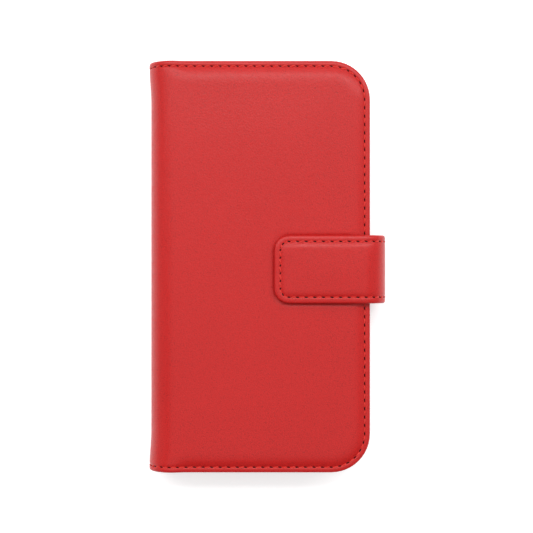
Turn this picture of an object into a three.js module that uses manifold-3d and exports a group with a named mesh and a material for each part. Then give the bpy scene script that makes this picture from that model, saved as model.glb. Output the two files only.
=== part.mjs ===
// A book-style phone wallet case, closed, lying on its back cover.
// Millimetres. +X runs from the spine to the free edge, +Y to the top of the phone, +Z up through the front cover.
// The origin is under the middle of the whole case, on the surface that it lies on.
import * as THREE from "three";
import { mergeVertices } from "three/addons/utils/BufferGeometryUtils.js";
import Module from "manifold-3d";

const wasm = await Module();
wasm.setup();

// Driving dimensions. Distances along X are counted from the outside of the spine.
const coverHeight = 154;
const coverWidth = 82.5; // outside of the spine to the free edge
const caseThickness = 19.2; // closed, without the strap
const cornerRadius = 14.4;
const strapReach = 6.2; // how far the strap stands out past the free edge
const phone = { width: 71.5, height: 146.7, thickness: 7.8, corner: 9.9 };

const leather = 1.0;
const lining = 0.6;
const board = 0.6;
const foam = 0.8;
const glue = 0.1; // the gap that each glued joint keeps
const pocketSheet = 0.6;

const rimWidth = 4; // the stitched margin around each board
const rimDrop = 0.8; // the stitched margin lies this far under the padded face
const stitchInset = 1.9;
const stitchGroove = { width: 0.9, depth: 0.35 };
const thread = { width: 0.5, depth: 0.25 };

const halfHeight = coverHeight / 2;
const totalWidth = coverWidth + strapReach;
const eighthTurn = Math.PI / 4;
const quarterTurn = Math.PI / 2;

// Levels of the layers, from the surface up.
const backBoardZ = leather + glue;
const backLiningZ = backBoardZ + board + glue;
const padZ = backLiningZ + lining + glue;
const padSheet = 0.2;
const trayZ = padZ + padSheet + glue;
const frontLeatherZ = caseThickness - leather;
const frontFoamZ = frontLeatherZ - glue - foam;
const frontBoardZ = frontFoamZ - glue - board;
const frontLiningZ = frontBoardZ - glue - lining;
const pocketStep = pocketSheet + glue;
const cashPanelZ = frontLiningZ - pocketStep;

// The spine is a half round between the two covers.
const spineRadius = caseThickness / 2;
const spineCentre = { x: spineRadius, z: spineRadius };
const foldGap = THREE.MathUtils.degToRad(2.2); // half the gap at each fold line, seen from the spine's centre

// ---- solids ----

function solidOf(geometry) {
  const bare = geometry.index ? geometry.toNonIndexed() : geometry.clone();
  bare.deleteAttribute("normal");
  bare.deleteAttribute("uv");
  const merged = mergeVertices(bare, 1e-4);
  const mesh = new wasm.Mesh({
    numProp: 3,
    vertProperties: merged.attributes.position.array,
    triVerts: new Uint32Array(merged.index.array),
  });
  return new wasm.Manifold(mesh);
}

function geometryOf(solid) {
  const mesh = solid.getMesh();
  const geometry = new THREE.BufferGeometry();
  geometry.setAttribute("position", new THREE.BufferAttribute(mesh.vertProperties, 3));
  geometry.setIndex(new THREE.BufferAttribute(mesh.triVerts, 1));
  geometry.computeVertexNormals();
  return geometry;
}

// One solid from several that touch or overlap.
function joined(...geometries) {
  return geometryOf(geometries.map(solidOf).reduce((a, b) => a.add(b)));
}

function without(geometry, ...cutters) {
  return geometryOf(cutters.map(solidOf).reduce((a, b) => a.subtract(b), solidOf(geometry)));
}

// ---- shapes ----

// A rectangle whose corners have their own radii, in the order low left, low right, high right, high left.
function roundedRectangle(x0, y0, x1, y1, radii) {
  const [r0, r1, r2, r3] = Array.isArray(radii) ? radii : [radii, radii, radii, radii];
  const shape = new THREE.Shape();
  shape.moveTo(x0 + r0, y0);
  shape.lineTo(x1 - r1, y0);
  if (r1) shape.absarc(x1 - r1, y0 + r1, r1, -quarterTurn, 0);
  shape.lineTo(x1, y1 - r2);
  if (r2) shape.absarc(x1 - r2, y1 - r2, r2, 0, quarterTurn);
  shape.lineTo(x0 + r3, y1);
  if (r3) shape.absarc(x0 + r3, y1 - r3, r3, quarterTurn, Math.PI);
  shape.lineTo(x0, y0 + r0);
  if (r0) shape.absarc(x0 + r0, y0 + r0, r0, Math.PI, Math.PI + quarterTurn);
  return shape;
}

// The outline of a cover from x0 to its free edge, drawn in by inset on its three free sides.
function coverOutline(x0, inset) {
  const corner = cornerRadius - inset;
  const y = halfHeight - inset;
  return roundedRectangle(x0, -y, coverWidth - inset, y, [0, corner, corner, 0]);
}

function plate(shape, z, thickness, curveSegments = 8) {
  const geometry = new THREE.ExtrudeGeometry(shape, { depth: thickness, bevelEnabled: false, curveSegments });
  return geometry.translate(0, 0, z);
}

function block(x0, x1, y0, y1, z0, z1) {
  const geometry = new THREE.BoxGeometry(x1 - x0, y1 - y0, z1 - z0);
  return geometry.translate((x0 + x1) / 2, (y0 + y1) / 2, (z0 + z1) / 2);
}

// A bent sheet: the ring sector between two radii about centre, from angle a0 to a1 in the XZ plane, along Y from y0 to y1.
function bentSheet(centre, outer, inner, a0, a1, y0, y1, segments = 8) {
  const shape = new THREE.Shape();
  shape.absarc(0, 0, outer, a0, a1, false);
  shape.absarc(0, 0, inner, a1, a0, true);
  const geometry = new THREE.ExtrudeGeometry(shape, { depth: y1 - y0, bevelEnabled: false, curveSegments: segments });
  return geometry.rotateX(quarterTurn).translate(centre.x, y1, centre.z);
}

// A channel or a rail that follows the stitch line round a cover's three free sides.
function stitchTrack(width, z, thickness, x0 = spineCentre.x) {
  const outer = plate(coverOutline(x0, stitchInset - width / 2), z, thickness);
  const inner = plate(coverOutline(x0 - 1, stitchInset + width / 2), z - 1, thickness + 2);
  return without(outer, inner);
}

// ---- materials ----

function material(color, roughness, metalness = 0) {
  return new THREE.MeshStandardMaterial({ color, roughness, metalness });
}

const looks = {
  leather: material(0xcf3d3c, 0.5),
  lining: material(0xa82f2f, 0.85),
  pocket: material(0xc43a39, 0.55),
  thread: material(0xe0403a, 0.6),
  board: material(0x8c7b66, 0.9),
  foam: material(0xd9d5cc, 0.95),
  pad: material(0x2a2a2c, 0.9),
  tray: material(0x1d1d1f, 0.45),
  steel: material(0xb7b9bd, 0.35, 1),
};

const group = new THREE.Group();
group.position.x = -totalWidth / 2;

function add(name, look, geometry, z = 0) {
  const mesh = new THREE.Mesh(geometry, looks[look]);
  mesh.name = name;
  mesh.position.z = z;
  group.add(mesh);
}

// ---- camera window, shared by every layer of the back cover ----

const trayWall = 1.6;
const trayFloor = 1.2;
const trayLeft = 5.9;
const trayRight = trayLeft + phone.width + 2 * trayWall;
const camera = { size: 34, corner: 9, x: trayRight - trayWall - 20.5, y: phone.height / 2 - 20.5 };

function cameraWindow(grow, z, thickness) {
  const half = camera.size / 2 + grow;
  const shape = roundedRectangle(
    camera.x - half,
    camera.y - half,
    camera.x + half,
    camera.y + half,
    camera.corner + grow,
  );
  return plate(shape, z, thickness, 5);
}

// ---- strap sizes, shared with the back cover that it is sewn into ----

const strap = { width: 25.2, y: -1, tip: 46.8, corner: 5.4, tail: 68 };
const strapLow = strap.y - strap.width / 2;
const strapHigh = strap.y + strap.width / 2;
const strapCore = 0.9;
const strapLiningZ = caseThickness + 0.2;
const strapCoreZ = strapLiningZ + lining + glue;
const strapLeatherZ = strapCoreZ + strapCore + glue;
const strapTop = strapLeatherZ + leather;
const tailRoom = 0.4;

// ---- back cover ----

// The bent part of a cover's sheet, from its flat part to the fold line. side is -1 for the back cover and 1 for the front.
function foldSheet(side, outer, inner, halfLength) {
  const flat = side * quarterTurn;
  const start = side < 0 ? -Math.PI + eighthTurn + foldGap : quarterTurn;
  const end = side < 0 ? flat : Math.PI - eighthTurn - foldGap;
  return bentSheet(spineCentre, outer, inner, start, end, -halfLength, halfLength);
}

function backOuterLeather() {
  const face = plate(coverOutline(spineCentre.x, 0), 0, leather);
  const rim = without(
    plate(coverOutline(spineCentre.x, 0), leather / 2, backLiningZ - glue - leather / 2),
    plate(coverOutline(spineCentre.x - 1, rimWidth), leather / 2 - 1, board + 3),
  );
  const tailSlot = block(
    coverWidth - rimWidth - 1,
    coverWidth + 1,
    strapLow - tailRoom,
    strapHigh + tailRoom,
    leather,
    backLiningZ,
  );
  const fold = foldSheet(-1, spineRadius, spineRadius - leather, halfHeight);
  return without(
    joined(face, rim, fold),
    tailSlot,
    cameraWindow(0, -1, 3),
    stitchTrack(stitchGroove.width, -1, 1 + stitchGroove.depth),
    without(cameraWindow(2.35, -1, 1 + stitchGroove.depth), cameraWindow(1.45, -2, 4)),
  );
}

function backBoard() {
  const sheet = plate(coverOutline(spineCentre.x + 2.5, rimWidth + 0.3), 0, board);
  const tailSlot = block(strap.tail - 0.6, coverWidth, strapLow - tailRoom, strapHigh + tailRoom, -1, 2);
  return without(sheet, tailSlot, cameraWindow(1, -1, 3));
}

function coverLining(side) {
  const low = side < 0 ? backLiningZ : frontLiningZ;
  const sheet = plate(coverOutline(spineCentre.x, 0.3), low, lining);
  const outer = spineRadius - leather - glue;
  const fold = foldSheet(side, outer, outer - lining, halfHeight - 0.3);
  const reach = { near: spineCentre.x, far: spineCentre.x + 2.2 };
  const bridgeLow = side < 0 ? leather + glue : low;
  const bridgeHigh = side < 0 ? low + lining : caseThickness - leather - glue;
  const bridge = block(reach.near, reach.far, 0.3 - halfHeight, halfHeight - 0.3, bridgeLow, bridgeHigh);
  return joined(sheet, fold, bridge);
}

// The lining's bridge stands on the leather only inside the stitched margin, so the margin's rim is cut away there.
function withBridgeRoom(leatherGeometry, side) {
  const z0 = side < 0 ? leather : frontLiningZ;
  const z1 = side < 0 ? backLiningZ + lining : frontLeatherZ;
  const room = block(
    spineCentre.x - 1,
    spineCentre.x + 2.5,
    -halfHeight - 1,
    halfHeight + 1,
    z0 + (side < 0 ? 0.05 : -1),
    z1 - (side < 0 ? 0 : 0.05),
  );
  return without(leatherGeometry, room);
}

add("back_outer_leather", "leather", withBridgeRoom(backOuterLeather(), -1));
add("back_board", "board", backBoard(), backBoardZ);
add("back_lining", "lining", without(coverLining(-1), cameraWindow(0, 0, 4)));
add("back_edge_thread", "thread", stitchTrack(thread.width, 0, thread.depth), stitchGroove.depth - thread.depth - 0.05);
add(
  "camera_window_thread",
  "thread",
  without(cameraWindow(1.9 + thread.width / 2, 0, thread.depth), cameraWindow(1.9 - thread.width / 2, -1, 3)),
  stitchGroove.depth - thread.depth - 0.05,
);

// ---- phone tray and what fixes it to the back cover ----

const cavity = { z: trayFloor, lipZ: trayFloor + phone.thickness };
const trayHeight = cavity.lipZ + 1.0;
const lipOverhang = 0.7;
const trayHalf = phone.height / 2 + trayWall;
const phoneLeft = trayLeft + trayWall;

function trayOutline(inset) {
  return roundedRectangle(
    trayLeft + inset,
    -trayHalf + inset,
    trayRight - inset,
    trayHalf - inset,
    phone.corner + trayWall - inset,
  );
}

// The three side buttons: the wall that each is in (-1 left, 1 right), its middle and its length.
const buttonWindow = { height: 3.4, z: trayZ + 5.4, recess: 0.6, margin: 1.0 };
const buttons = {
  volume_up_button: { side: -1, y: 29, length: 11 },
  volume_down_button: { side: -1, y: 14, length: 11 },
  side_button: { side: 1, y: 21, length: 17 },
};
const muteSlot = { y: 44, length: 8 };

// A block through a long wall of the tray, between two depths counted inwards from the wall's outside.
function wallBlock(side, y, length, height, from, to) {
  const outside = side < 0 ? trayLeft : trayRight;
  const xs = [outside - side * from, outside - side * to].sort((a, b) => a - b);
  const z = buttonWindow.z;
  return block(xs[0], xs[1], y - length / 2, y + length / 2, z - height / 2, z + height / 2);
}

function phoneTray() {
  const shell = plate(trayOutline(0), trayZ, trayHeight, 6);
  const hollow = plate(trayOutline(trayWall), trayZ + cavity.z, phone.thickness, 6);
  const mouth = plate(trayOutline(trayWall + lipOverhang), trayZ + cavity.lipZ - 0.5, 3, 6);
  const windows = Object.values(buttons).flatMap((b) => [
    wallBlock(b.side, b.y, b.length, buttonWindow.height, -1, trayWall + 1),
    wallBlock(
      b.side,
      b.y,
      b.length + 2 * buttonWindow.margin,
      buttonWindow.height + 2 * buttonWindow.margin,
      trayWall - buttonWindow.recess,
      trayWall + 1,
    ),
  ]);
  const mute = wallBlock(-1, muteSlot.y, muteSlot.length, buttonWindow.height, -1, trayWall + 1);
  const middle = (trayLeft + trayRight) / 2;
  const portZ = trayZ + cavity.z + phone.thickness / 2;
  const endSlot = (x, width, height) =>
    block(x - width / 2, x + width / 2, -trayHalf - 1, -trayHalf + trayWall + 2, portZ - height / 2, portZ + height / 2);
  return without(
    shell,
    hollow,
    mouth,
    ...windows,
    mute,
    endSlot(middle, 13, 6),
    endSlot(middle - 17, 11, 2.2),
    endSlot(middle + 17, 11, 2.2),
    cameraWindow(0.6, trayZ - 1, 4),
  );
}

function trayPad() {
  const sheet = plate(roundedRectangle(trayLeft + 6, -trayHalf + 6, trayRight - 6, trayHalf - 6, 5), 0, padSheet, 4);
  return without(sheet, cameraWindow(2, -1, 3));
}

add("tray_adhesive_pad", "pad", trayPad(), padZ);
add("phone_tray", "tray", phoneTray());

const capGap = 0.2;
const capProud = 0.6;
for (const [name, b] of Object.entries(buttons)) {
  const stem = wallBlock(b.side, b.y, b.length - 2 * capGap, buttonWindow.height - 2 * capGap, -capProud, trayWall);
  const flange = wallBlock(
    b.side,
    b.y,
    b.length + 2 * (buttonWindow.margin - capGap),
    buttonWindow.height + 2 * (buttonWindow.margin - capGap),
    trayWall - buttonWindow.recess + 0.1,
    trayWall,
  );
  add(name, "tray", joined(stem, flange));
}

// ---- spine ----

const spineStart = Math.PI - eighthTurn + foldGap;
const spineEnd = Math.PI + eighthTurn - foldGap;
const reinforcement = {
  outer: spineRadius - leather - glue,
  thickness: 0.3,
  margin: 16,
  spread: THREE.MathUtils.degToRad(32),
};
const spineThreadRadius = spineRadius - stitchGroove.depth + thread.depth + 0.05;

function spineBand(outer, inner, y0, y1, a0 = spineStart, a1 = spineEnd) {
  return bentSheet(spineCentre, outer, inner, a0, a1, y0, y1, 10);
}

function spineGroove(side) {
  const middle = side * (halfHeight - stitchInset);
  const half = stitchGroove.width / 2;
  const floor = spineRadius - stitchGroove.depth;
  return spineBand(spineRadius + 1, floor, middle - half, middle + half, spineStart - 0.1, spineEnd + 0.1);
}

const spineInner = reinforcement.outer - reinforcement.thickness - glue;
add(
  "spine_outer_leather",
  "leather",
  without(
    spineBand(spineRadius, spineRadius - leather, -halfHeight, halfHeight),
    spineGroove(-1),
    spineGroove(1),
  ),
);
add(
  "spine_reinforcement",
  "board",
  spineBand(
    reinforcement.outer,
    reinforcement.outer - reinforcement.thickness,
    -halfHeight + reinforcement.margin,
    halfHeight - reinforcement.margin,
    Math.PI - reinforcement.spread,
    Math.PI + reinforcement.spread,
  ),
);
add("spine_lining", "lining", spineBand(spineInner, spineInner - 0.5, 0.3 - halfHeight, halfHeight - 0.3));
for (const [name, side] of [["spine_thread_bottom", -1], ["spine_thread_top", 1]]) {
  const middle = side * (halfHeight - stitchInset);
  const half = thread.width / 2;
  add(name, "thread", spineBand(spineThreadRadius, spineThreadRadius - thread.depth, middle - half, middle + half));
}

// ---- front cover ----

const magnet = { width: 18, height: 12, x: strap.tip + 11 }; // in the strap's tip and under the front leather
const rimTop = caseThickness - rimDrop;

function frontOuterLeather() {
  const padded = plate(coverOutline(spineCentre.x, rimWidth - 1), frontLeatherZ, leather);
  const rim = without(
    plate(coverOutline(spineCentre.x, 0), frontBoardZ, rimTop - frontBoardZ),
    plate(coverOutline(spineCentre.x - 1, rimWidth), frontBoardZ - 1, 4),
  );
  const fold = foldSheet(1, spineRadius, spineRadius - leather, halfHeight);
  const groove = stitchTrack(stitchGroove.width, rimTop - stitchGroove.depth, 2);
  return without(joined(padded, rim, fold), groove);
}

function magnetBlock(grow, thickness) {
  const w = magnet.width / 2 + grow;
  const h = magnet.height / 2 + grow;
  return block(magnet.x - w, magnet.x + w, strap.y - h, strap.y + h, 0, thickness);
}

add("front_outer_leather", "leather", withBridgeRoom(frontOuterLeather(), 1));
add(
  "front_foam",
  "foam",
  without(plate(coverOutline(spineCentre.x + 2.5, rimWidth + 0.3), 0, foam), magnetBlock(0.3, foam + 1).translate(0, 0, -0.5)),
  frontFoamZ,
);
add("front_catch_plate", "steel", magnetBlock(0, foam), frontFoamZ);
add("front_board", "board", plate(coverOutline(spineCentre.x + 2.5, rimWidth + 0.3), 0, board), frontBoardZ);
add("front_lining", "lining", coverLining(1));
add(
  "front_edge_thread",
  "thread",
  stitchTrack(thread.width, 0, thread.depth, spineCentre.x + 3),
  rimTop - stitchGroove.depth + 0.05,
);

// The pocket stack on the inside of the front cover: each card pocket hangs under the one behind it, towards the phone.
const pocket = { left: 13, inset: 3.2, seam: 2.0, notch: 9 };
const pocketTops = { card_pocket_3: 42, card_pocket_2: 28, card_pocket_1: 14 };
const pocketDepth = 88;

function pocketOutline(top, bottom) {
  const right = coverWidth - pocket.inset;
  const lowest = -halfHeight + pocket.inset;
  const corner = bottom <= lowest ? cornerRadius - pocket.inset : 0.8;
  return roundedRectangle(pocket.left, Math.max(bottom, lowest), right, top, [corner ? 3 : 0.8, corner, 0.8, 0.8]);
}

function thumbNotch(top) {
  const middle = (pocket.left + coverWidth - pocket.inset) / 2;
  const arc = new THREE.Shape();
  arc.absarc(middle, top + 4.5, pocket.notch, Math.PI, 2 * Math.PI);
  return plate(arc, -1, 3, 10);
}

const cashTop = halfHeight - pocket.inset;
const cashCorner = cornerRadius - pocket.inset;
add(
  "cash_pocket_panel",
  "pocket",
  plate(
    roundedRectangle(pocket.left, -cashTop, coverWidth - pocket.inset, cashTop, [3, cashCorner, cashCorner, 3]),
    0,
    pocketSheet,
  ),
  cashPanelZ,
);
Object.entries(pocketTops).forEach(([name, top], layer) => {
  const bottom = layer === 2 ? -halfHeight : top - pocketDepth;
  const sheet = without(plate(pocketOutline(top, bottom), 0, pocketSheet), thumbNotch(top));
  add(name, "pocket", sheet, cashPanelZ - (layer + 1) * pocketStep);
});

// ---- strap: a tail sewn into the back cover's free edge, a bend beside the case, and a flap over the front ----

const topBend = { x: totalWidth - 9, z: strapTop - 9, outer: 9 };
const lowBend = { x: coverWidth, outer: strapReach };
lowBend.z = 0.5 + lowBend.outer;
const bendGap = THREE.MathUtils.degToRad(3);

function strapBend(bend, outer, inner, a0, a1) {
  return bentSheet(bend, outer, inner, a0, a1, strapLow, strapHigh);
}

function strapTail() {
  const tab = block(strap.tail, coverWidth + 0.9, strapLow, strapHigh, leather + glue, leather + glue + board);
  const exit = Math.asin(0.4 / lowBend.outer);
  const bend = strapBend(lowBend, lowBend.outer, lowBend.outer - leather, -quarterTurn + exit, -eighthTurn - 2 * bendGap);
  return joined(tab, bend);
}

function strapSide(outerInset, thickness) {
  const low = lowBend.outer - outerInset;
  const high = topBend.outer - outerInset;
  const x = totalWidth - outerInset;
  return joined(
    strapBend(lowBend, low, low - thickness, -eighthTurn + 2 * bendGap, 0),
    block(x - thickness, x, strapLow, strapHigh, lowBend.z - 0.05, topBend.z + 0.05),
    strapBend(topBend, high, high - thickness, 0, eighthTurn - bendGap),
  );
}

function flapOutline(right, inset) {
  const corner = strap.corner - inset;
  return roundedRectangle(strap.tip + inset, strapLow + inset, right, strapHigh - inset, [corner, 0, 0, corner]);
}

function flapBend(outerInset, thickness) {
  const outer = topBend.outer - outerInset;
  return strapBend(topBend, outer, outer - thickness, eighthTurn + bendGap, quarterTurn);
}

function flapTrack(width, z, thickness) {
  const outer = plate(flapOutline(topBend.x, stitchInset - width / 2), z, thickness, 6);
  const inner = plate(flapOutline(topBend.x + 1, stitchInset + width / 2), z - 1, thickness + 2, 6);
  return without(outer, inner);
}

function flapLeather() {
  const face = plate(flapOutline(topBend.x, 0), strapLeatherZ, leather, 6);
  const groove = flapTrack(stitchGroove.width, strapTop - stitchGroove.depth, 2);
  return without(joined(face, flapBend(0, leather)), groove);
}

function flapLining() {
  const sheet = plate(flapOutline(topBend.x, 0.2), strapLiningZ, lining, 6);
  const bend = flapBend(leather + glue, lining);
  const bridgeTop = strapTop - leather - glue;
  const bridge = block(topBend.x - 2, topBend.x, strapLow + 0.2, strapHigh - 0.2, strapLiningZ, bridgeTop);
  return joined(sheet, bend, bridge);
}

function flapPadding() {
  const sheet = plate(flapOutline(topBend.x - 2.4, 1.2), 0, strapCore, 6);
  return without(sheet, magnetBlock(0.3, strapCore + 1).translate(0, 0, -0.5));
}

add("strap_tail", "leather", strapTail());
add("strap_side_leather", "leather", strapSide(0, leather));
add("strap_side_lining", "lining", strapSide(leather + glue, lining));
add("strap_flap_leather", "leather", flapLeather());
add("strap_flap_lining", "lining", flapLining());
add("strap_flap_padding", "foam", flapPadding(), strapCoreZ);
add("strap_magnet", "steel", magnetBlock(0, strapCore), strapCoreZ);
add("strap_flap_thread", "thread", flapTrack(thread.width, 0, thread.depth), strapTop - stitchGroove.depth + 0.05);

export default group;
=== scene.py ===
"""The looks of a phone wallet case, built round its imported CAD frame.

Shapes are worked out in millimetres in the case's own section: x from the outside of the spine, y up the
phone, z up from the table. to_frame() turns them into the frame's metres.
"""

import math

import bmesh
import bpy
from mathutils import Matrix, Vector


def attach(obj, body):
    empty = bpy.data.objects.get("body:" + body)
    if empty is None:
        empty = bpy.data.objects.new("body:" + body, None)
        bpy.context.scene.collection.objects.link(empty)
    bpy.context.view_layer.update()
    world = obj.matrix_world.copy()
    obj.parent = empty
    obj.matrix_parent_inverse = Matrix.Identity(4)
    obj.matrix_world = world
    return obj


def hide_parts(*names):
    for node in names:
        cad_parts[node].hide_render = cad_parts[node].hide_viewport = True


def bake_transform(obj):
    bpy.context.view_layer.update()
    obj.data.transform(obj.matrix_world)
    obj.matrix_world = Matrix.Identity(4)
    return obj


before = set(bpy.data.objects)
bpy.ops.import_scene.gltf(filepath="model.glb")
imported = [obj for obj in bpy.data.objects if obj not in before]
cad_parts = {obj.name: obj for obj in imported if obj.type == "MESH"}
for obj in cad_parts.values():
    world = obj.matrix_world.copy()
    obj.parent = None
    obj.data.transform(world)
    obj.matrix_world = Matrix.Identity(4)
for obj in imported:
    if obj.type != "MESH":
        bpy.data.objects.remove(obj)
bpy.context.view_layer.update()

# ---- sizes, millimetres ----

WIDTH = 88.7  # outside of the spine to the outside of the strap
HALF = 77.0  # half the covers' height
COVER = 82.5  # outside of the spine to the covers' free edge
CORNER = 14.4  # radius of the covers' free corners
THICK = 19.2  # the closed covers
R = THICK / 2  # the half round of the spine
QUARTER = math.pi / 2
SPINE_ARC = R * QUARTER
EDGE = COVER - R  # the free edge, measured from where the cover turns flat
PITCH = 3.16  # from stitch to stitch
SEAM = 1.87  # the covers' seam, in from the edge
TRAY_LEFT, TRAY_WALL, TRAY_FLOOR = 5.9, 1.6, 1.2
TRAY_Z, TRAY_TOP = 2.8, 12.8
PHONE_W, PHONE_H, PHONE_CORNER = 71.5, 146.7, 9.9
TRAY_RIGHT = TRAY_LEFT + PHONE_W + 2 * TRAY_WALL
TRAY_HALF = PHONE_H / 2 + TRAY_WALL
CAMERA_IN = 20.5  # middle of the camera window, in from two edges of the phone
CAMERA_X = TRAY_RIGHT - TRAY_WALL - CAMERA_IN
CAMERA_Y = PHONE_H / 2 - CAMERA_IN
CAMERA_SIZE, CAMERA_CORNER = 34.0, 9.0
STRAP_Y, STRAP_HALF, STRAP_TIP, STRAP_CORNER = -1.0, 12.6, 46.8, 5.4
STRAP_TOP = 22.1
WELD = 0.02  # outline points closer than this are one point
SHARP_LEATHER, SHARP_MOULDING, SHARP_SLAB = 62, 38, 40  # an edge is sharp from this many degrees


def to_frame(p):
    """A place in the case's own section as metres in the frame."""
    return Vector(((p[0] - WIDTH / 2) / 1000, p[1] / 1000, p[2] / 1000))


def smooth(t):
    """0 up to 0, 1 from 1, and an even ease between."""
    t = min(1.0, max(0.0, t))
    return t * t * (3 - 2 * t)


def curve_through(points):
    """A smooth function through (input, output) points, flat past both ends."""
    xs = [p[0] for p in points]
    ys = [p[1] for p in points]
    slopes = [(ys[i + 1] - ys[i]) / (xs[i + 1] - xs[i]) for i in range(len(xs) - 1)]
    tangents = [slopes[0]]
    tangents += [0.0 if a * b <= 0 else 2 * a * b / (a + b) for a, b in zip(slopes, slopes[1:])]
    tangents.append(slopes[-1])

    def value(x):
        if x <= xs[0]:
            return ys[0]
        if x >= xs[-1]:
            return ys[-1]
        i = max(k for k in range(len(xs) - 1) if xs[k] <= x)
        w = xs[i + 1] - xs[i]
        t = (x - xs[i]) / w
        a = (1 + 2 * t) * (1 - t) ** 2 * ys[i] + t * (1 - t) ** 2 * w * tangents[i]
        return a + t * t * (3 - 2 * t) * ys[i + 1] + t * t * (t - 1) * w * tangents[i + 1]

    return value


# ---- materials ----


class Nodes:
    """The nodes of one material. An input takes a plain value or another node's output."""

    def __init__(self, name):
        self.material = bpy.data.materials.new(name)
        self.material.use_nodes = True
        self.tree = self.material.node_tree
        self.shader = self.tree.nodes["Principled BSDF"]
        self.where = self.tree.nodes.new("ShaderNodeTexCoord").outputs["Object"]

    def feed(self, node, inputs):
        """Sets or links a node's inputs."""
        for key, value in inputs.items():
            if isinstance(value, bpy.types.NodeSocket):
                self.tree.links.new(value, node.inputs[key])
            else:
                node.inputs[key].default_value = value

    def add(self, kind, output, inputs, **settings):
        """The named output of a new node."""
        node = self.tree.nodes.new(kind)
        for key, value in settings.items():
            setattr(node, key, value)
        self.feed(node, inputs)
        return node.outputs[output]

    def set(self, **values):
        """Feeds the surface shader."""
        self.feed(self.shader, {key.replace("_", " "): value for key, value in values.items()})

    def noise(self, scale, detail=4.0, rough=0.5, stretch=None):
        """Cloudy noise, drawn out along an axis by a stretch under 1."""
        where = self.where
        if stretch:
            where = self.add("ShaderNodeMapping", "Vector", {"Vector": where, "Scale": stretch})
        inputs = {"Vector": where, "Scale": scale, "Detail": detail, "Roughness": rough}
        return self.add("ShaderNodeTexNoise", "Fac", inputs)

    def cells(self, scale, feature="F1"):
        """Cells of an even size, as pebbles or pores."""
        inputs = {"Vector": self.where, "Scale": scale, "Randomness": 1.0}
        return self.add("ShaderNodeTexVoronoi", "Distance", inputs, feature=feature)

    def ramp(self, value, low, high, out_low=0.0, out_high=1.0):
        """A value's range mapped to another."""
        inputs = {"Value": value, "From Min": low, "From Max": high, "To Min": out_low, "To Max": out_high}
        return self.add("ShaderNodeMapRange", "Result", inputs)

    def sum(self, a, b, share):
        """a and a share of b."""
        return self.add("ShaderNodeMath", "Value", {0: b, 1: share, 2: a}, operation="MULTIPLY_ADD")

    def mix(self, fac, a, b):
        """A colour between two."""
        return self.add("ShaderNodeMix", "Result", {"Factor": fac, "A": a, "B": b}, data_type="RGBA")

    def paint(self, fac, a, b):
        """Mixes the base colour from two colours."""
        self.set(Base_Color=self.mix(fac, a, b))

    def roughen(self, value, low, high, low_end=0.3, high_end=0.7):
        """Spreads a texture's values over a range of roughness."""
        self.set(Roughness=self.ramp(value, low_end, high_end, low, high))

    def bump(self, height, distance, strength, **after):
        """Raises the surface. A finer bump is given as Normal, to add to it."""
        inputs = {"Distance": distance, "Strength": strength, "Height": height, **after}
        normal = self.add("ShaderNodeBump", "Normal", inputs)
        self.set(Normal=normal)
        return normal


def colour(red, green, blue):
    """An sRGB colour, 0 to 255, as Blender's linear RGBA."""

    def linear(c):
        c /= 255
        return c / 12.92 if c <= 0.04045 else ((c + 0.055) / 1.055) ** 2.4

    return (linear(red), linear(green), linear(blue), 1.0)


def leather_material(name, base, shade, roughness):
    """Smooth finished leather: a fine pebble grain with pores, and a satin top coat."""
    m = Nodes(name)
    drift = m.ramp(m.noise(38, 3, 0.6), 0.35, 0.65)
    worn = m.mix(drift, base, shade)
    pores = m.ramp(m.cells(2300, "DISTANCE_TO_EDGE"), 0.0, 0.12)
    dark = tuple(c * 0.62 for c in shade[:3]) + (1.0,)
    m.paint(pores, dark, worn)
    m.roughen(m.noise(420, 4, 0.6), roughness - 0.05, roughness + 0.07)
    pebbles = m.sum(m.cells(1500), m.noise(2600, 5, 0.6), 0.5)
    fine = m.bump(pebbles, 0.00005, 0.55)
    m.bump(m.noise(190, 3, 0.5), 0.00012, 0.14, Normal=fine)
    m.set(Specular_IOR_Level=0.33, Coat_Weight=0.02, Coat_Roughness=0.32)
    return m.material


def edge_paint_material():
    """The painted edge of the leather: denser and glossier, with the ripple of several brushed coats."""
    m = Nodes("edge_paint")
    m.paint(m.noise(300, 4), colour(188, 16, 14), colour(176, 14, 12))
    m.roughen(m.noise(700, 3), 0.42, 0.54)
    m.set(Specular_IOR_Level=0.3)
    m.bump(m.noise(500, 3, 0.5, (1, 0.3, 1)), 0.00008, 0.4)
    return m.material


def suede_material(name, base, shade):
    """Brushed microfibre lining: short nap in soft patches, with a sheen."""
    m = Nodes(name)
    nap = m.sum(m.noise(3200, 4, 0.7, (1, 0.35, 1)), m.noise(90, 3, 0.6), 0.7)
    m.paint(m.ramp(nap, 0.55, 1.1), base, shade)
    m.roughen(m.noise(240, 3), 0.82, 0.95)
    m.bump(nap, 0.00008, 0.5)
    m.set(Sheen_Weight=0.25, Sheen_Roughness=0.5, Specular_IOR_Level=0.25)
    return m.material


def thread_material(name, base, shade):
    """Waxed polyester thread, with the ply's twist across it."""
    m = Nodes(name)
    inputs = {"Vector": m.where, "Scale": 1300, "Distortion": 1.5}
    ply = m.add("ShaderNodeTexWave", "Fac", inputs, wave_type="BANDS", bands_direction="DIAGONAL")
    m.paint(ply, shade, base)
    m.roughen(m.noise(900), 0.4, 0.55)
    m.bump(ply, 0.00008, 0.6)
    m.set(Sheen_Weight=0.1, Specular_IOR_Level=0.4)
    return m.material


def moulded_material(name, base, shade, roughness):
    """Matt moulded polyurethane with a fine spark-eroded texture and faint handling marks."""
    m = Nodes(name)
    m.paint(m.noise(55, 3), base, shade)
    marks = m.sum(m.noise(70, 5, 0.65), m.noise(1500, 2), 0.3)
    m.roughen(marks, roughness - 0.02, roughness + 0.04, 0.4, 0.9)
    m.bump(m.noise(2600, 3, 0.6), 0.00004, 0.5)
    m.set(Specular_IOR_Level=0.4)
    return m.material


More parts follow.
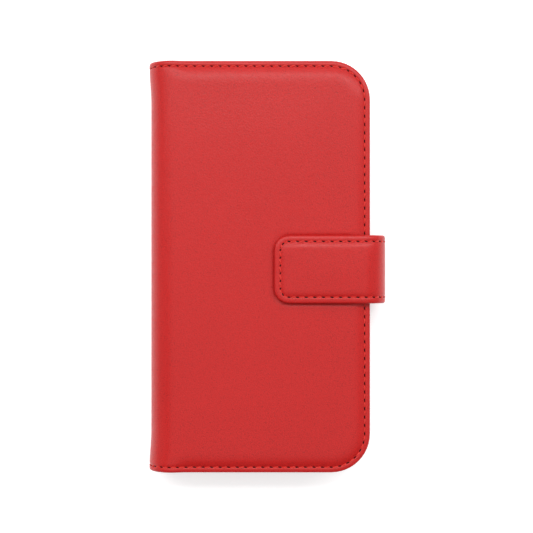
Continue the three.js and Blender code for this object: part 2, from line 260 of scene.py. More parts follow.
def plain_material(name, base, shade, roughness, scale, metal=0.0):
    """Board, foam, steel and the like, each with its own speckle or brushing."""
    m = Nodes(name)
    stretch = (1, 0.08, 1) if metal else None
    speckle = m.noise(scale, 5, 0.7, stretch)
    m.paint(speckle, base, shade)
    m.roughen(speckle, roughness - 0.06, roughness + 0.06)
    m.bump(speckle, 0.00006, 0.4)
    m.set(Metallic=metal, Specular_IOR_Level=0.5 if metal else 0.15)
    return m.material


LEATHER = leather_material("red_leather", colour(199, 27, 25), colour(196, 25, 23), 0.35)
POCKET = leather_material("pocket_leather", colour(188, 26, 24), colour(180, 23, 22), 0.5)
EDGE_PAINT = edge_paint_material()
FLESH = suede_material("flesh_side", colour(150, 48, 40), colour(128, 36, 32))
LINING = suede_material("microfibre_lining", colour(150, 30, 30), colour(128, 22, 23))
THREAD = thread_material("seam_thread", colour(228, 46, 32), colour(206, 34, 22))
MOULDED = moulded_material("moulded_tray", colour(30, 30, 32), colour(28, 28, 30), 0.58)
MOULDED_CAP = moulded_material("moulded_caps", colour(34, 34, 36), colour(27, 27, 29), 0.42)
BOARD = plain_material("grey_board", colour(150, 132, 110), colour(126, 110, 92), 0.88, 900)
FOAM = plain_material("padding_foam", colour(222, 216, 204), colour(200, 194, 182), 0.93, 1600)
PAD = plain_material("adhesive_pad", colour(36, 36, 38), colour(26, 26, 28), 0.8, 1200)
# the needle holes' dark red is painted shade, the shade inside each hole
HOLE_SHADE = plain_material("needle_hole_painted_shade", colour(60, 3, 3), colour(42, 2, 2), 0.9, 2400)
STEEL = plain_material("plate_steel", colour(176, 178, 182), colour(150, 152, 156), 0.34, 700, 1.0)

# ---- meshes ----


def add_object(name, data):
    """A new object in the scene."""
    obj = bpy.data.objects.new(name, data)
    bpy.context.scene.collection.objects.link(obj)
    return obj


def build(name, points, faces, materials, slots=None, soft=True, sharp=None):
    """A mesh object from points in millimetres."""
    mesh = bpy.data.meshes.new(name)
    mesh.from_pydata([to_frame(p) for p in points], [], faces)
    for material in materials:
        mesh.materials.append(material)
    if slots:
        mesh.polygons.foreach_set("material_index", slots)
    obj = add_object(name, mesh)
    clean = bmesh.new()
    clean.from_mesh(mesh)
    bmesh.ops.recalc_face_normals(clean, faces=clean.faces)
    clean.to_mesh(mesh)
    clean.free()
    if soft:
        mesh.shade_smooth()
    if sharp is not None:
        mesh.set_sharp_from_angle(angle=math.radians(sharp))
    return obj


def stands_for(piece, slot, *nodes):
    """Hides the CAD nodes that a piece replaces, if any. The piece and the slot are not used."""
    if nodes:
        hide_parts(*nodes)


def ring_faces(size, rings, first=0, joined=False):
    """Faces over equal rings of points, with a cap on each end or the last ring joined to the first."""
    faces = []
    for r in range(rings if joined else rings - 1):
        a, b = first + r * size, first + (r + 1) % rings * size
        for i in range(size):
            j = (i + 1) % size
            faces.append([a + i, a + j, b + j, b + i])
    if not joined:
        faces.append([first + i for i in reversed(range(size))])
        faces.append([first + (rings - 1) * size + i for i in range(size)])
    return faces


WALL_BULGE = 0.16  # how far a painted edge stands out
JOIN = 0.04  # a short first step, so that two sheets meet with the same shading


class Sheet:
    """The flat pattern of a sheet with one straight end, two long edges and a free end with round corners.

    Its points are (u, y, d): u runs to the free end, y across, and d is how far in from the edge. Rows
    follow the edge, so a rim, a groove and a bevel can be drawn along it. Steps are counted along the
    sheet, across it and round a corner.
    """

    def __init__(self, start, end, half, corner, rows, steps, across, turns, extra_us=(), extra_ys=()):
        self.points = []
        self.index = {}
        self.faces = []
        side = half - corner
        ys = [side - 2 * side * i / across for i in range(across + 1)]
        ys = sorted(ys + list(extra_ys), reverse=True)
        run = end - corner - start
        inner = sorted([start, start + JOIN, *extra_us] + [start + run * i / steps for i in range(1, steps)])
        inner.append(end - corner)

        def track(d):
            r = corner - d
            arc = [QUARTER * (1 - i / turns) for i in range(1, turns)]
            upper = [(u, half - d, d) for u in inner]
            upper += [(end - corner + r * math.cos(a), side + r * math.sin(a), d) for a in arc]
            lower = [(u, -y, d) for u, y, d in reversed(upper)]
            return upper + [(end - d, y, d) for y in ys] + lower

        tracks = [[self.at(*p) for p in track(d)] for d in rows]
        for outer, within in zip(tracks, tracks[1:]):
            for i in range(len(outer) - 1):
                self.face(outer[i], outer[i + 1], within[i + 1], within[i])
        grid = [[self.at(u, y, min(half - abs(y), end - u)) for y in ys] for u in inner]
        for a, b in zip(grid, grid[1:]):
            for i in range(len(ys) - 1):
                self.face(a[i], b[i], b[i + 1], a[i + 1])
        self.edge = tracks[0]
        self.middle = (end - corner, side)
        at_start = [i for i, p in enumerate(self.points) if abs(p[0] - inner[0]) < 1e-6]
        self.start = sorted(at_start, key=lambda i: -self.points[i][1])

    def at(self, u, y, d):
        """The number of the point at (u, y), which is added if it is new."""
        key = (round(u, 4), round(y, 4))
        if key not in self.index:
            self.index[key] = len(self.points)
            self.points.append((u, y, d))
        return self.index[key]

    def face(self, *corners):
        """Adds a face, or a triangle where two of its corners are one point."""
        ring = [c for i, c in enumerate(corners) if c != corners[i - 1]]
        if len(ring) > 2:
            self.faces.append(ring)

    def solid(self, name, place, top, bottom, materials, wall_steps=3):
        """A closed body between two heights over the pattern, with a rounded painted wall round its edge.

        The materials are for the outside, the painted wall and the inside.
        """
        count = len(self.points)
        points = [place(u, y, top(u, y, d)) for u, y, d in self.points]
        points += [place(u, y, bottom(u, y, d)) for u, y, d in self.points]
        faces = [list(f) for f in self.faces] + [[i + count for i in reversed(f)] for f in self.faces]
        slots = [0] * len(self.faces) + [2] * len(self.faces)
        rings = [self.edge]
        for step in range(1, wall_steps):
            share = step / wall_steps
            bulge = WALL_BULGE * math.sin(math.pi * share)
            rings.append([len(points) + i for i in range(len(self.edge))])
            for i in self.edge:
                u, y, d = self.points[i]
                high, low = top(u, y, d), bottom(u, y, d)
                out = self.outwards(u, y)
                points.append(place(u + out[0] * bulge, y + out[1] * bulge, high + (low - high) * share))
        rings.append([i + count for i in self.edge])
        for a, b in zip(rings, rings[1:]):
            for i in range(len(a) - 1):
                faces.append([a[i + 1], a[i], b[i], b[i + 1]])
                slots.append(1)
        ends = [[r[0] for r in rings[1:-1]], [r[-1] for r in rings[1:-1]]]
        low = [i + count for i in self.start]
        faces.append(self.start + ends[1] + low[::-1] + ends[0][::-1])
        slots.append(1)
        return build(name, points, faces, materials, slots, sharp=SHARP_LEATHER)

    def outwards(self, u, y):
        """The direction out of the edge at (u, y)."""
        cx, cy = self.middle
        dx, dy = max(0.0, u - cx), max(0.0, abs(y) - cy)
        size = math.hypot(dx, dy) or 1.0
        return dx / size, math.copysign(dy / size, y)


# ---- seams: slanted stitches between needle holes ----


def seam_line(end, half, corner, inset, start_u):
    """Needle holes (u, y, along u, along y) that follow a sheet's edge at an inset."""
    e, h, r = end - inset, half - inset, corner - inset
    run, side = e - r - start_u, 2 * (h - r)
    along, round_corner, across = (max(1, round(length / PITCH)) for length in (run, r * QUARTER, side))
    upper = [(start_u + run * i / along, h, 1, 0) for i in range(along)]
    for i in range(round_corner + 1):
        a = QUARTER * (1 - i / round_corner)
        upper.append((e - r + r * math.cos(a), h - r + r * math.sin(a), math.sin(a), -math.cos(a)))
    lower = [(u, -y, -au, ay) for u, y, au, ay in reversed(upper)]
    return upper + [(e, h - r - side * i / across, 0, -1) for i in range(1, across)] + lower


TUBE_SIDES, TUBE_STEPS = 6, 6
HOLE_SIDES = 8
HOLE_RINGS = ((-0.25, 0.7), (0.035, 1.0), (0.06, 0.72))  # height over the groove, share of the hole's size
THREAD_REACH = 0.88  # how far along a slanted hole the thread comes out


def add_thread(points, faces, start, stop, place, height, radius):
    """One stitch: a tube that arches from hole to hole and thins where it dives in."""
    du, dy = stop[0] - start[0], stop[1] - start[1]
    size = math.hypot(du, dy)
    nu, ny = -dy / size, du / size
    first = len(points)
    for i in range(TUBE_STEPS + 1):
        t = i / TUBE_STEPS
        u, y = start[0] + du * t, start[1] + dy * t
        arch = math.sin(math.pi * t)
        middle = height(u, y) + radius * (1.25 * arch ** 0.6 - 0.75)
        thin = 0.62 + 0.38 * arch ** 0.5
        for k in range(TUBE_SIDES):
            a = 2 * math.pi * k / TUBE_SIDES
            side = radius * thin * math.cos(a)
            up = middle + radius * 0.8 * thin * math.sin(a)
            points.append(place(u + nu * side, y + ny * side, up))
    faces += ring_faces(TUBE_SIDES, TUBE_STEPS + 1, first)


def add_hole(points, faces, u, y, slant, size, place, base):
    """One needle hole: a lens sunk in the leather, long across the seam, whose dark colour is painted shade.
    """
    first = len(points)
    long, wide = size
    for level, grow in HOLE_RINGS:
        for k in range(HOLE_SIDES):
            a = 2 * math.pi * k / HOLE_SIDES
            p, q = long * grow * math.cos(a), wide * grow * math.sin(a)
            du, dy = slant[0] * p - slant[1] * q, slant[1] * p + slant[0] * q
            points.append(place(u + du, y + dy, base + level))
    faces += ring_faces(HOLE_SIDES, len(HOLE_RINGS), first)


def stitches(name, nodes, line, place, height, radius=0.27, awl=(8, -12.5, -37.5)):
    """Two objects: the threads from hole to hole, which replace CAD nodes, and the slanted needle holes,
    dark lenses of painted shade.

    awl gives a hole's angle off the seam, in degrees: across the piece, and what changes along it.
    """
    thread_points, thread_faces = [], []
    hole_points, hole_faces = [], []
    hole_size = (2.5 * radius, 1.15 * radius)
    reach = hole_size[0] * THREAD_REACH

    def slit(au, ay):
        tilt = math.radians(awl[0] + awl[1] * au + awl[2] * au * au)
        c, s = math.cos(tilt), math.sin(tilt)
        return au * c - ay * s, au * s + ay * c

    for (u0, y0, au, ay), (u1, y1, bu, by) in zip(line, line[1:]):
        out, into = slit(au, ay), slit(bu, by)
        start = (u0 + out[0] * reach, y0 + out[1] * reach)
        stop = (u1 - into[0] * reach, y1 - into[1] * reach)
        add_thread(thread_points, thread_faces, start, stop, place, height, radius)
    for u, y, au, ay in line[1:]:
        add_hole(hole_points, hole_faces, u, y, slit(au, ay), hole_size, place, height(u, y))
    threads = build(name, thread_points, thread_faces, [THREAD])
    # the holes' lenses carry painted shade
    holes = build(name + "_holes", hole_points, hole_faces, [HOLE_SHADE])
    stands_for(threads, "thread", *nodes)
    stands_for(holes, "thread")
    return threads, holes


# ---- the hide of the covers and the spine ----

FLARE, FLARE_START, FLARE_LENGTH = 0.75, 62, 15


def flare(u, y):
    """The spine's ends stand out a little, where no phone holds the hide in."""
    if u >= 0:
        return 0.0
    round_share = math.sin(min(QUARTER, -u / R)) ** 2
    return FLARE * round_share * smooth((abs(y) - FLARE_START) / FLARE_LENGTH)


def place_front(u, y, h):
    """The upper half of the case: flat for u over 0, round the spine under 0. h is out from the hide."""
    if u >= 0:
        return (R + u, y, THICK + h)
    angle = -u / R
    reach = R + h + flare(u, y)
    return (R - reach * math.sin(angle), y, R + reach * math.cos(angle))


def place_back(u, y, h):
    """The lower half of the case, the upper half's mirror image."""
    x, y, z = place_front(u, y, h)
    return (x, y, THICK - z)


def rim(rows, lip, depth, width, power=3):
    """Heights along a sheet's edge: the lip and the seam's groove, then a bevel that eases into the face."""
    outer = curve_through(list(zip(rows, lip)))
    start = rows[-1]

    def height(d):
        if d <= start:
            return outer(d)
        return -depth * max(0.0, 1 - (d - start) / width) ** power

    return height


BEVEL = 2.45  # where the bevel starts, in from the edge
LIP_ROWS = [0, 0.12, 0.35, 0.7, 1.05, 1.44, 1.64, SEAM, 2.12, BEVEL]
front_rim = rim(LIP_ROWS, (-1.5, -1.32, -1.21, -1.13, -1.06, -1.02, -1.12, -1.3, -1.21, -1.04), 1.04, 6.7)
spine_rim = rim(LIP_ROWS, (-0.42, -0.24, -0.1, -0.03, 0.0, -0.03, -0.15, -0.34, -0.2, -0.09), 0.09, 1.5)
back_rim = rim(LIP_ROWS, (-0.46, -0.28, -0.14, -0.06, -0.03, -0.06, -0.2, -0.42, -0.26, -0.13), 0.13, 1.5)
PUCKER_DEPTH, PUCKER_WIDTH = 0.07, 0.5


def pucker(u, y, d, start_u, end, half, corner, pitch_u):
    """The leather draws down a little at each needle hole."""
    near = math.exp(-((d - SEAM) / PUCKER_WIDTH) ** 2)
    if near < 0.02:
        return 0.0
    side, turn = half - corner, end - corner
    if u < turn:
        phase = (u - start_u) / pitch_u
    elif abs(y) < side:
        phase = (side - y) / (2 * side) * round(2 * side / PITCH)
    else:
        a = math.atan2(abs(y) - side, u - turn)
        phase = a / QUARTER * round((corner - SEAM) * QUARTER / PITCH)
    return -PUCKER_DEPTH * near * (0.5 + 0.5 * math.cos(2 * math.pi * phase))


HIDE = 1.0  # thickness of the hide
TOP_RUN = EDGE - CORNER + SPINE_ARC
HOLES_ALONG = round(TOP_RUN / PITCH)
DENT_DEPTH = 0.26
DENT_STEPS = (-0.35, 0.15, 0.6, 1.1, 1.6)  # distances out from the strap's outline
DENT_US = [STRAP_TIP - R - step for step in DENT_STEPS]
DENT_YS = [STRAP_Y + side * (STRAP_HALF + step) for side in (-1, 1) for step in DENT_STEPS]
COVER_ROWS = LIP_ROWS + [2.9, 3.4, 4.0, 4.7, 5.5, 6.4, 7.4, 8.4, 9.5, 11.8, CORNER]
cover_pattern = Sheet(
    -SPINE_ARC, EDGE, HALF, CORNER, COVER_ROWS, 2 * HOLES_ALONG, 80, 12, DENT_US, DENT_YS)


def strap_dent(u, y, d):
    """The closed strap's flap presses a shallow dent into the padded front."""
    along = STRAP_TIP + STRAP_CORNER - (R + u)
    across = abs(y - STRAP_Y) - (STRAP_HALF - STRAP_CORNER)
    outside = math.hypot(max(0.0, along), max(0.0, across)) + min(0.0, max(along, across)) - STRAP_CORNER
    return -DENT_DEPTH * smooth((1.6 - outside) / 1.9) * smooth((d - 2.5) / 6)


def flat_share(u):
    """0 round the spine, 1 on the flat of a cover."""
    return smooth((u + 4) / 9)


def board_share(u):
    """0 on the bare hide of the spine, 1 where a board lies under it."""
    return smooth((u - 0.5) / 3)


def cover_rim(edge, u, d):
    """Heights by a cover's edge, which change to the spine's."""
    return edge(d) * flat_share(u) + spine_rim(d) * (1 - flat_share(u))


def cover_pucker(u, y, d):
    """The pucker of a cover's seam."""
    return pucker(u, y, d, -SPINE_ARC, EDGE, HALF, CORNER, TOP_RUN / HOLES_ALONG)


def front_top(u, y, d):
    """The padded front: it rises a little to its middle and keeps the strap's dent."""
    crown = 0.16 * smooth((d - 8) / 22) * flat_share(u) + strap_dent(u, y, EDGE - u)
    return cover_rim(front_rim, u, d) + crown + cover_pucker(u, y, d)


def front_bottom(u, y, d):
    """The hide's inside, which is turned in round the board and the foam at the edge."""
    turned = -2.58 + 0.06 * (1 - smooth(d / 0.4))
    inner = max(turned, front_top(u, y, max(d, 4)) - 0.95)
    deep = turned + (inner - turned) * smooth((d - 3.6) / 1.2)
    thin = min(-HIDE, front_top(u, y, d) - 0.7)
    return deep * board_share(u) + thin * (1 - board_share(u))


def back_top(u, y, d):
    """The back cover is flat inside its rim."""
    return cover_rim(back_rim, u, d) + cover_pucker(u, y, d)


def back_bottom(u, y, d):
    """The hide's inside, turned in round the board at the edge."""
    deep = -1.74 + 0.76 * smooth((d - 3.6) / 1.0)
    return deep * board_share(u) - HIDE * (1 - board_share(u))


hide = [LEATHER, EDGE_PAINT, FLESH]
front_hide = cover_pattern.solid("front_cover_leather", place_front, front_top, front_bottom, hide)
back_hide = cover_pattern.solid("back_cover_leather", place_back, back_top, back_bottom, hide)


def rounded_rectangle(x0, y0, x1, y1, radii, turns=8):
    """An outline, counter-clockwise from the low right corner.

    The radii are for the corners low right, high right, high left and low left.
    """
    corners = (
        (x1, y0, -1, 1, -QUARTER), (x1, y1, -1, -1, 0),
        (x0, y1, 1, -1, QUARTER), (x0, y0, 1, 1, 2 * QUARTER),
    )
    points = []
    for (x, y, sx, sy, a0), r in zip(corners, radii):
        for i in range(turns + 1):
            a = a0 + QUARTER * i / turns
            points.append((x + sx * r + r * math.cos(a), y + sy * r + r * math.sin(a)))
    return points


def rounded_square(half, corner):
    """An outline round the middle of the camera window."""
    x, y = CAMERA_X, CAMERA_Y
    return rounded_rectangle(x - half, y - half, x + half, y + half, (corner,) * 4, 10)


def without_repeats(outline):
    """The outline without points that repeat the one before."""
    kept = []
    for p in outline:
        if not kept or math.dist(p, kept[-1]) > WELD:
            kept.append(p)
    if math.dist(kept[0], kept[-1]) < WELD:
        kept.pop()
    return kept


def at_level(p, level, axis):
    """An outline's point at a level along the axis that the outline lies across."""
    return {"x": (level, *p), "y": (p[0], level, p[1]), "z": (*p, level)}[axis]


def prism(outline, low, high, axis="z"):
    """A closed cutter between two levels along an axis."""
    outline = without_repeats(outline)
    points = [at_level(p, level, axis) for level in (low, high) for p in outline]
    return points, ring_faces(len(outline), 2)


def cut(obj, *cutters):
    """Cuts closed bodies out of a piece, and deletes them."""
    for points, faces in cutters:
        tool = build("cutter", points, faces, [], soft=False)
        change = obj.modifiers.new("cut", "BOOLEAN")
        change.object = tool
        change.operation = "DIFFERENCE"
        change.solver = "EXACT"
        with bpy.context.temp_override(object=obj, active_object=obj):
            bpy.ops.object.modifier_apply(modifier=change.name)
        mesh = tool.data
        bpy.data.objects.remove(tool)
        bpy.data.meshes.remove(mesh)


def around_window(section):
    """A ring round the camera window, from (distance from the window's edge, level) points."""
    points = []
    for grow, level in section:
        points += [(x, y, level) for x, y in rounded_square(CAMERA_SIZE / 2 + grow, CAMERA_CORNER + grow)]
    return points, ring_faces(len(points) // len(section), len(section), joined=True)


CUT_OUTSIDE, CUT_INSIDE = -2, 3.2  # levels that a cut through the back cover's leather starts and ends at
CAMERA_SEAM_IN, CAMERA_SEAM_DEPTH = 1.9, 0.34
GROOVE_INNER, GROOVE_OUTER, GROOVE_SLOPE = CAMERA_SEAM_IN - 0.5, CAMERA_SEAM_IN + 0.5, 0.2
camera_outline = rounded_square(CAMERA_SIZE / 2, CAMERA_CORNER)
camera_groove = around_window([
    (GROOVE_INNER, -0.6), (GROOVE_OUTER, -0.6), (GROOVE_OUTER, CAMERA_SEAM_DEPTH / 2),
    (GROOVE_OUTER - GROOVE_SLOPE, CAMERA_SEAM_DEPTH), (GROOVE_INNER + GROOVE_SLOPE, CAMERA_SEAM_DEPTH),
    (GROOVE_INNER, CAMERA_SEAM_DEPTH / 2),
])
cut(back_hide, prism(camera_outline, CUT_OUTSIDE, CUT_INSIDE), camera_groove)
back_hide.data.set_sharp_from_angle(angle=math.radians(SHARP_LEATHER))

# The lining behind each half of the hide, glued edge to edge with it.
LINING_IN = 0.3
LINING_ROWS = [0, 0.15, 0.5, 1.2, 3.0, 6.0, 10.0, CORNER - LINING_IN]
lining_pattern = Sheet(
    -SPINE_ARC, EDGE - LINING_IN, HALF - LINING_IN, CORNER - LINING_IN, LINING_ROWS, 60, 40, 8)
lining_edge = curve_through([(0, 0.2), (0.15, 0.06), (0.5, 0.0)])
LINING_THICK = 0.62
SPINE_LINING_DEPTH, FRONT_LINING_DEPTH, BACK_LINING_DEPTH = 1.16, 2.7, 1.8


def lining_level(depth):
    """The lining's two surfaces: close behind the spine's hide, and at a depth behind a cover's board."""

    def face(u):
        return SPINE_LINING_DEPTH + (depth - SPINE_LINING_DEPTH) * smooth((u + 0.6) / 2.6)

    def outer(u, y, d):
        return -face(u) - lining_edge(d) * 0.4

    def inner(u, y, d):
        wrinkle = 0.1 * math.sin(u * 2.1 + 0.5 * math.sin(y * 0.11)) * smooth(-u / 4) * smooth(d / 4)
        return -face(u) - LINING_THICK + lining_edge(d) * 0.6 + wrinkle

    return outer, inner


soft_lining = [LINING, EDGE_PAINT, LINING]
front_lining = lining_pattern.solid(
    "front_cover_lining", place_front, *lining_level(FRONT_LINING_DEPTH), soft_lining)
back_lining = lining_pattern.solid(
    "back_cover_lining", place_back, *lining_level(BACK_LINING_DEPTH), soft_lining)
cut(back_lining, prism(camera_outline, CUT_OUTSIDE, CUT_INSIDE + 0.4))

cover_line = seam_line(EDGE, HALF, CORNER, SEAM, -SPINE_ARC)
STITCH_LIFT = 0.03  # of the stitches over the bottom of their groove


def seam_height(edge):
    """How high a cover's stitches lie, over the hide's outside."""
    return lambda u, y: cover_rim(edge, u, SEAM) + STITCH_LIFT


front_seam = stitches(
    "front_seam_stitches", ("front_edge_thread", "spine_thread_top"), cover_line, place_front,
    seam_height(front_rim))
back_seam = stitches(
    "back_seam_stitches", ("back_edge_thread", "spine_thread_bottom"), cover_line, place_back,
    seam_height(back_rim), radius=0.24)

for piece in (front_hide, *front_seam):
    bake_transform(piece)
for piece in (back_hide, *back_seam):
    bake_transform(piece)
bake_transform(front_lining)
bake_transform(back_lining)

stands_for(front_hide, "leather", "front_outer_leather", "spine_outer_leather")
stands_for(back_hide, "leather", "back_outer_leather")
stands_for(front_lining, "lining", "front_lining", "spine_lining")
stands_for(back_lining, "lining", "back_lining")

# ---- slabs with rounded edges ----


def offset_outline(outline, inset):
    """The outline drawn in by inset along each corner's normal."""
    drawn = []
    for (ax, ay), (x, y), (bx, by) in zip(outline[-1:] + outline, outline, outline[1:] + outline[:1]):
        ex, ey = x - ax, y - ay
        gx, gy = bx - x, by - y
        e, g = math.hypot(ex, ey) or 1, math.hypot(gx, gy) or 1
        nx, ny = -(ey / e + gy / g), ex / e + gx / g
        size = math.hypot(nx, ny) or 1
        spread = max(0.5, size / 2)
        drawn.append((x + nx / size * inset / spread, y + ny / size * inset / spread))
    return drawn


def slab(name, outline, low, high, bevel, materials, axis="z", steps=3):
    """A flat body with rounded rims between two levels along an axis."""
    outline = without_repeats(outline)
    turn = [QUARTER * i / steps for i in range(steps + 1)]
    rings = [(bevel * (1 - math.sin(a)), low + bevel * (1 - math.cos(a))) for a in turn]
    rings += [(bevel * (1 - math.cos(a)), high - bevel * (1 - math.sin(a))) for a in turn]
    points = [at_level(p, level, axis) for inset, level in rings for p in offset_outline(outline, inset)]
    return build(name, points, ring_faces(len(outline), len(rings)), materials, sharp=SHARP_SLAB)


# ---- pockets inside the front cover ----

POCKET_IN = 3.2  # from the covers' edges
POCKET_LEFT, POCKET_RIGHT = 13.0, COVER - POCKET_IN
POCKET_MIDDLE = (POCKET_LEFT + POCKET_RIGHT) / 2
POCKET_LOW, POCKET_HIGH = -HALF + POCKET_IN, HALF - POCKET_IN
POCKET_CORNER = CORNER - POCKET_IN
POCKET_SHEET, POCKET_PITCH = 0.6, 2.6  # the sheet's thickness, from stitch to stitch
NOTCH, NOTCH_RISE = 9.0, 4.5  # the thumb notch's radius, and its middle over the pocket's edge
NOTCH_REACH = math.sqrt(NOTCH ** 2 - NOTCH_RISE ** 2)


def notch_arc(top, radius, first, steps):
    """Round a thumb notch, from right to left, from an angle in degrees to its mirror image."""
    turn = [math.radians(first - (180 + 2 * first) * i / steps) for i in range(steps + 1)]
    return [(POCKET_MIDDLE + radius * math.cos(a), top + NOTCH_RISE + radius * math.sin(a)) for a in turn]


def thumb_notch(top):
    """The notch in a pocket's upper edge, from right to left, with a slightly eased lip on both sides."""
    wide, near = NOTCH_REACH + 1.2, NOTCH_REACH + 0.5
    right = [(POCKET_MIDDLE + wide, top), (POCKET_MIDDLE + near, top - 0.08)]
    left = [(POCKET_MIDDLE - near, top - 0.08), (POCKET_MIDDLE - wide, top)]
    return right + notch_arc(top, NOTCH, -30, 20) + left


def card_pocket_outline(top, bottom):
    """A card pocket, whose lower right corner follows the cover's where it reaches that far."""
    corner = POCKET_CORNER if bottom <= POCKET_LOW else 1.0
    outline = rounded_rectangle(POCKET_LEFT, bottom, POCKET_RIGHT, top, (corner, 1.0, 1.0, 3.0))
    split = max(i for i, p in enumerate(outline) if p[1] > top - 0.01 and p[0] > POCKET_MIDDLE) + 1
    return outline[:split] + thumb_notch(top) + outline[split:]


def flat_place(level):
    """For seams on a flat face that looks down, such as a pocket's: h goes down from the level."""
    return lambda x, y, h: (x, y, level - h)


def pocket_panel(name, outline, level, node):
    """One sheet inside the front cover, in place of a CAD node."""
    panel = slab(name, outline, level, level + POCKET_SHEET, 0.24, [POCKET])
    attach(panel, "front_cover")
    stands_for(panel, "pocket", node)


FRONT_POCKET_LEVEL = 13.1
CARD_POCKETS = (
    ("card_pocket_back", 42.0, -46.0, 14.5, "card_pocket_3"),
    ("card_pocket_middle", 28.0, -60.0, 13.8, "card_pocket_2"),
    ("card_pocket_front", 14.0, POCKET_LOW, FRONT_POCKET_LEVEL, "card_pocket_1"),
)
cash_outline = rounded_rectangle(
    POCKET_LEFT, POCKET_LOW, POCKET_RIGHT, POCKET_HIGH, (POCKET_CORNER, POCKET_CORNER, 3, 3))
pocket_panel("cash_pocket", cash_outline, 15.2, "cash_pocket_panel")
for name, top, bottom, level, node in CARD_POCKETS:
    pocket_panel(name, card_pocket_outline(top, bottom), level, node)


def run_between(points):
    """Needle holes (x, y, along x, along y) on a polyline."""
    line = []
    for (x0, y0), (x1, y1) in zip(points, points[1:]):
        dx, dy = x1 - x0, y1 - y0
        size = math.hypot(dx, dy)
        n = max(1, round(size / POCKET_PITCH))
        line += [(x0 + dx * i / n, y0 + dy * i / n, dx / size, dy / size) for i in range(n)]
    line.append((*points[-1], dx / size, dy / size))
    return line


def pocket_seam(name, points, level):
    """A finer seam along a polyline on a pocket."""
    line = run_between(points)
    for piece in stitches(name, (), line, flat_place(level), lambda u, y: -0.02, radius=0.2):
        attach(piece, "front_cover")


HEM, EDGE_IN = 1.7, 1.6  # how far the hem's and the outer seam lie in from the pocket's edge


def hem_line(top):
    """Along a pocket's upper edge and round its notch, from right to left."""
    hem = top - HEM
    dip = [p for p in notch_arc(top, NOTCH + HEM, -38, 6) if p[1] < hem]
    return [(POCKET_RIGHT - 2, hem)] + dip + [(POCKET_LEFT + 2, hem)]


def pocket_edge_line(top):
    """Down a pocket's right side, along the bottom and up its left side."""
    right, left, low = POCKET_RIGHT - EDGE_IN, POCKET_LEFT + EDGE_IN, POCKET_LOW + EDGE_IN
    r = POCKET_CORNER - EDGE_IN
    turn = [-QUARTER * i / 5 for i in range(6)]
    bend = [(right - r + r * math.cos(a), low + r + r * math.sin(a)) for a in turn]
    return [(right, top)] + bend + [(left, low), (left, top)]


for name, top, bottom, level, node in CARD_POCKETS:
    pocket_seam(name + "_hem_stitches", hem_line(top), level)
pocket_seam("pocket_edge_stitches", pocket_edge_line(11.0), FRONT_POCKET_LEVEL)

# ---- phone tray ----


def tray_outline(inset):
    """The tray's outside, drawn in by an inset."""
    radius = PHONE_CORNER + TRAY_WALL - inset
    return rounded_rectangle(
        TRAY_LEFT + inset, -TRAY_HALF + inset, TRAY_RIGHT - inset, TRAY_HALF - inset, (radius,) * 4, 12)


def tray_moulding():
    """The tray without its openings, from under its floor up the wall, over the lip and down inside."""
    outside = ((1.1, 0), (0.5, 0.12), (0.14, 0.48), (0, 1.1))
    lip = (
        (0, -0.9), (0.12, -0.4), (0.42, -0.1), (0.9, 0), (1.7, 0), (2.12, -0.14), (2.3, -0.5), (2.2, -0.82),
        (1.75, -1.05), (TRAY_WALL, -1.5),
    )
    inside = ((TRAY_WALL, 0.7), (1.72, 0.25), (2.1, 0.02), (2.7, 0))
    parts = ((TRAY_Z, outside), (TRAY_TOP, lip), (TRAY_Z + TRAY_FLOOR, inside))
    section = [(inset, level + rise) for level, part in parts for inset, rise in part]
    points = [(x, y, level) for inset, level in section for x, y in tray_outline(inset)]
    faces = ring_faces(len(tray_outline(0)), len(section))
    return build("phone_tray_moulding", points, faces, [MOULDED])


WINDOW_Z = TRAY_Z + 5.4  # middle of the phone's side buttons
PORT_Z = TRAY_Z + TRAY_FLOOR + 3.9  # middle of the phone's thickness
MIDDLE = (TRAY_LEFT + TRAY_RIGHT) / 2
BUTTONS = {  # side, y of the middle, length, body
    "volume_up_button": (-1, 29.0, 11.0, "volume_up"),
    "volume_down_button": (-1, 14.0, 11.0, "volume_down"),
    "side_button": (1, 21.0, 17.0, "power"),
}
SWITCH_Y, SWITCH_LENGTH, SWITCH_HEIGHT = 44, 8, 3.4  # the opening for the mute switch
END_OPENINGS = ((MIDDLE, 13, 6), (MIDDLE - 17, 11, 2.2), (MIDDLE + 17, 11, 2.2))  # x, length, height
WINDOW_HEIGHT, CAP_HEIGHT = 3.5, 3.1
CUT_BEYOND, CUT_WITHIN = 1, 2.4  # how far a cutter reaches out of the tray's wall and into the bay
CAP_OUT, CAP_IN = 0.6, 1.55  # how far a cap reaches out of and into the wall's outside


def pill(cy, cz, length, height):
    """The outline of a slot in a tray wall. The radius stops short of half the height, to keep its sides."""
    r = height / 2
    return rounded_rectangle(cy - length / 2, cz - r, cy + length / 2, cz + r, (r * 0.98,) * 4, 6)


def through_side(side, beyond, within):
    """The two x levels, low first, from outside a side wall to inside it."""
    wall = TRAY_LEFT if side < 0 else TRAY_RIGHT
    return sorted((wall + side * beyond, wall - side * within))


def tray_cutters():
    """The openings: camera, side buttons, mute switch, charging port and the two grilles."""
    clear = 0.6  # the floor's opening is wider than the camera window by this much all round
    around = rounded_square(CAMERA_SIZE / 2 + clear, CAMERA_CORNER + clear)
    cutters = [prism(around, TRAY_Z - 1, TRAY_Z + 2)]
    for side, y, length, body in BUTTONS.values():
        window = pill(y, WINDOW_Z, length + 0.1, WINDOW_HEIGHT)
        cutters.append(prism(window, *through_side(side, CUT_BEYOND, CUT_WITHIN), "x"))
    switch = pill(SWITCH_Y, WINDOW_Z, SWITCH_LENGTH, SWITCH_HEIGHT)
    cutters.append(prism(switch, *through_side(-1, CUT_BEYOND, CUT_WITHIN), "x"))
    for x, length, height in END_OPENINGS:
        opening = pill(x, PORT_Z, length, height)
        cutters.append(prism(opening, -TRAY_HALF - CUT_BEYOND, -TRAY_HALF + CUT_WITHIN, "y"))
    return cutters


